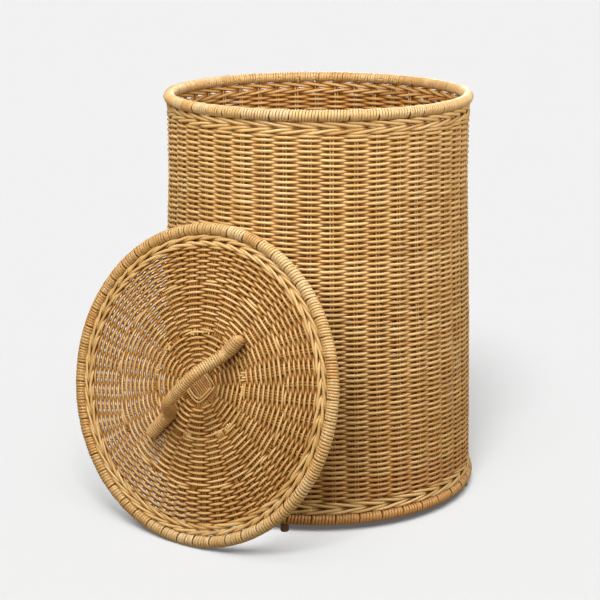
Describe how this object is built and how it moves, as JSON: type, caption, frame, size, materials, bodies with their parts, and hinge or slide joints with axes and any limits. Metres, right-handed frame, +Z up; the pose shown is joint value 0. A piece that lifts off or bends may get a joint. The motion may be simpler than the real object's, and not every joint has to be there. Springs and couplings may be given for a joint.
{
  "type": "laundry basket",
  "caption": "Round woven rattan laundry basket with wrapped rims and peg feet, its loose lid with an arched handle leaning on the side.",
  "frame": {"origin": "on the floor, in the middle of the box round the basket and its leaning lid", "axes": "+Z up from the floor, the lid leans on the side that faces -Y and -X"},
  "size_m": [0.5501, 0.5622, 0.557],
  "materials": {
    "weaver_rattan": "natural, satin",
    "wale_rattan": "natural, satin",
    "stake_rattan": "natural, satin",
    "wrapping_cane": "smooth split cane, satin",
    "hoop_core": "raw",
    "peg_wood": "dark, worn"
  },
  "bodies": {
    "basket": {"foot_front": "peg_wood", "foot_left": "peg_wood", "foot_back": "peg_wood", "foot_right": "peg_wood", "bottom_rim_core": "hoop_core", "bottom_rim_wrap": "wrapping_cane", "bottom_wale_lower": "wale_rattan", "bottom_wale_upper": "wale_rattan", "side_weave": "weaver_rattan", "side_stakes": "stake_rattan", "top_wale_lower": "wale_rattan", "top_wale_upper": "wale_rattan", "top_rim_core": "hoop_core", "top_rim_wrap": "wrapping_cane", "base_weave": "weaver_rattan", "base_cross_sticks": "stake_rattan", "base_inner_spokes": "stake_rattan", "base_outer_spokes": "stake_rattan"},
    "lid": {"lid_rim_core": "hoop_core", "lid_rim_wrap": "wrapping_cane", "lid_wale_outer": "wale_rattan", "lid_wale_inner": "wale_rattan", "lid_weave": "weaver_rattan", "lid_cross_sticks": "stake_rattan", "lid_inner_spokes": "stake_rattan", "lid_middle_spokes": "stake_rattan", "lid_outer_spokes": "stake_rattan", "handle_rod": "hoop_core", "handle_wrap": "wrapping_cane", "handle_binding_low": "wrapping_cane", "handle_binding_high": "wrapping_cane"}
  },
  "joints": [
    {"name": "lid_lift", "type": "slide", "parent": "basket", "child": "lid", "axis": [-0.3903, -0.5896, 0.7071], "range_m": [0, 0.3]}
  ]
}
